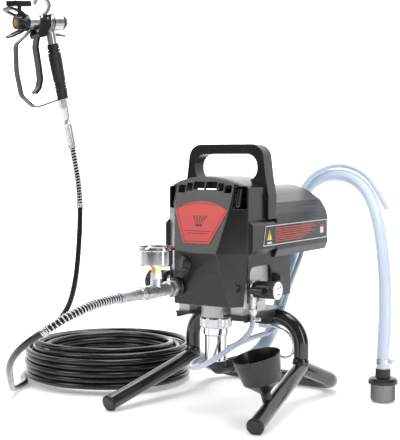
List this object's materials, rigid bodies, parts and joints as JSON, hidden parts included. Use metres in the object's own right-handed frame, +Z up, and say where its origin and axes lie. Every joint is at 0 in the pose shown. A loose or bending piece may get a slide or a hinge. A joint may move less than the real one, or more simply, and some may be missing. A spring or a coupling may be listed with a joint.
{
  "type": "airless paint sprayer",
  "caption": "Electric airless paint sprayer on a tube stand, with piston pump, suction hose, pressure gauge, coiled hose and spray gun.",
  "frame": {"origin": "on the floor, under the middle of the box around the machine, stand and gun", "axes": "+Z up, -Y to the machine's front where the gauge is, +X to its right"},
  "size_m": [0.7254, 0.6931, 0.7234],
  "materials": {
    "black_tube": "gloss black enamel on steel tube",
    "black_plate": "satin black powder coat",
    "housing_black": "fine-textured moulded plastic",
    "black_plastic": "smooth moulded plastic",
    "black_rubber": "moulded rubber",
    "red_badge": "printed polycarbonate label",
    "steel": "zinc-plated and turned steel",
    "chrome": "polished chrome",
    "cast_aluminium": "bead-blasted die casting",
    "gun_aluminium": "tumbled and clear-lacquered casting",
    "dark_metal": "dark oxide finish",
    "brass": "machined brass",
    "white_plastic": "white moulded plastic",
    "dial_face": "white printed dial",
    "needle_red": "painted pointer",
    "clear_lens": "clear window",
    "hose_black": "smooth hose jacket",
    "clear_braid": "clear tube with woven braid",
    "clear_tube": "clear tube",
    "mesh_steel": "woven wire mesh",
    "copper_steel": "laminated core and windings"
  },
  "bodies": {
    "root": {"front_legs": "black_tube", "rear_hoop": "black_tube", "stand_posts": "black_tube", "cross_strut": "black_plate", "base_plate": "black_plate", "foot_plugs": "black_rubber", "pail_hook": "steel", "gear_housing": "housing_black", "front_cover": "housing_black", "front_badge": "red_badge", "carry_handle": "housing_black", "motor_cover": "housing_black", "power_panel": "black_plastic", "cover_screws": "dark_metal", "gearbox_casting": "cast_aluminium", "stator": "dark_metal", "motor_bearings": "steel", "pump_manifold": "cast_aluminium", "pump_collar": "steel", "pump_cylinder": "chrome", "inlet_elbow": "dark_metal", "prime_valve": "steel", "pressure_sensor": "steel", "pressure_switch": "black_plastic", "filter_cap": "dark_metal", "outlet_fitting": "steel", "tee_fitting": "steel", "gauge_stem": "brass", "gauge_case": "chrome", "gauge_dial": "dial_face", "gauge_lens": "clear_lens", "hose_ferrule_pump": "steel", "spring_guard_pump": "steel", "pressure_hose_pump": "hose_black", "pressure_hose_coil": "hose_black", "pressure_hose_gun": "hose_black", "spring_guard_gun": "steel", "hose_ferrule_gun": "steel", "suction_hose": "clear_braid", "strainer_cap": "black_plastic", "strainer_mesh": "mesh_steel", "return_tube": "clear_tube"},
    "gun": {"gun_body": "gun_aluminium", "gun_handle": "black_rubber", "trigger_guard": "black_plastic"},
    "trigger": {"gun_trigger": "black_plastic"},
    "lock_lever": {"trigger_lock": "gun_aluminium"},
    "guard": {"tip_guard": "black_plastic"},
    "tip": {"spray_tip": "black_plastic"},
    "prime": {"prime_knob": "black_plastic", "prime_knob_cap": "white_plastic"},
    "pressure": {"pressure_knob": "black_plastic"},
    "rocker": {"power_rocker": "black_plastic"},
    "needle": {"gauge_needle": "needle_red"},
    "motor": {"armature": "copper_steel", "motor_fan": "black_plastic"},
    "crank": {"crank_gear": "steel"},
    "piston": {"piston_rod": "steel"},
    "ball": {"inlet_ball": "steel"},
    "cup": {"drip_cup": "black_plastic"}
  },
  "joints": [
    {"name": "gun_swivel", "type": "hinge", "parent": "root", "child": "gun", "pos_m": [-0.25777, 0.06315, 0.52143], "axis": [-0.0707, -0.1955, 0.9781], "continuous": true},
    {"name": "trigger_pull", "type": "hinge", "parent": "gun", "child": "trigger", "pos_m": [-0.27278, 0.02165, 0.68002], "axis": [0.9404, -0.3401, 0], "range_deg": [0, 11], "stiffness_Nm_per_rad": 1.5, "springref_deg": -11.46},
    {"name": "lock_turn", "type": "hinge", "parent": "gun", "child": "lock_lever", "pos_m": [-0.26247, 0.05015, 0.65256], "axis": [-0.9404, 0.3401, 0], "range_deg": [0, 60]},
    {"name": "guard_turn", "type": "hinge", "parent": "gun", "child": "guard", "pos_m": [-0.28581, -0.01439, 0.67064], "axis": [-0.3388, -0.9368, -0.0872], "range_deg": [-90, 90]},
    {"name": "tip_reverse", "type": "hinge", "parent": "guard", "child": "tip", "pos_m": [-0.2892, -0.02376, 0.66977], "axis": [-0.0296, -0.082, 0.9962], "range_deg": [0, 180]},
    {"name": "prime_turn", "type": "hinge", "parent": "root", "child": "prime", "pos_m": [0.25613, -0.06455, 0.203], "axis": [1, 0, 0], "range_deg": [0, 90]},
    {"name": "pressure_turn", "type": "hinge", "parent": "root", "child": "pressure", "pos_m": [0.06613, -0.07355, 0.206], "axis": [-1, 0, 0], "range_deg": [0, 270]},
    {"name": "rocker_tilt", "type": "hinge", "parent": "root", "child": "rocker", "pos_m": [0.19413, 0.19895, 0.292], "axis": [0, 0, -1], "range_deg": [0, 12]},
    {"name": "needle_sweep", "type": "hinge", "parent": "root", "child": "needle", "pos_m": [0.12413, -0.17455, 0.268], "axis": [0, 0, -1], "range_deg": [0, 270], "stiffness_Nm_per_rad": 0.002},
    {"name": "motor_spin", "type": "hinge", "parent": "root", "child": "motor", "pos_m": [0.16613, 0.05845, 0.308], "axis": [0, 1, 0], "continuous": true},
    {"name": "crank_spin", "type": "hinge", "parent": "root", "child": "crank", "pos_m": [0.16613, -0.02155, 0.258], "axis": [0, 1, 0], "continuous": true},
    {"name": "piston_stroke", "type": "slide", "parent": "root", "child": "piston", "axis": [0, 0, 1], "range_m": [-0.0098, 0.0098]},
    {"name": "ball_lift", "type": "slide", "parent": "root", "child": "ball", "axis": [0, 0, 1], "range_m": [0, 0.003]},
    {"name": "cup_lift", "type": "slide", "parent": "root", "child": "cup", "axis": [-0.17, -0.19, 0.967], "range_m": [0, 0.04]}
  ],
  "couplings": [
    {"joint": "crank_spin", "follows": "motor_spin", "ratio": -0.25}
  ]
}
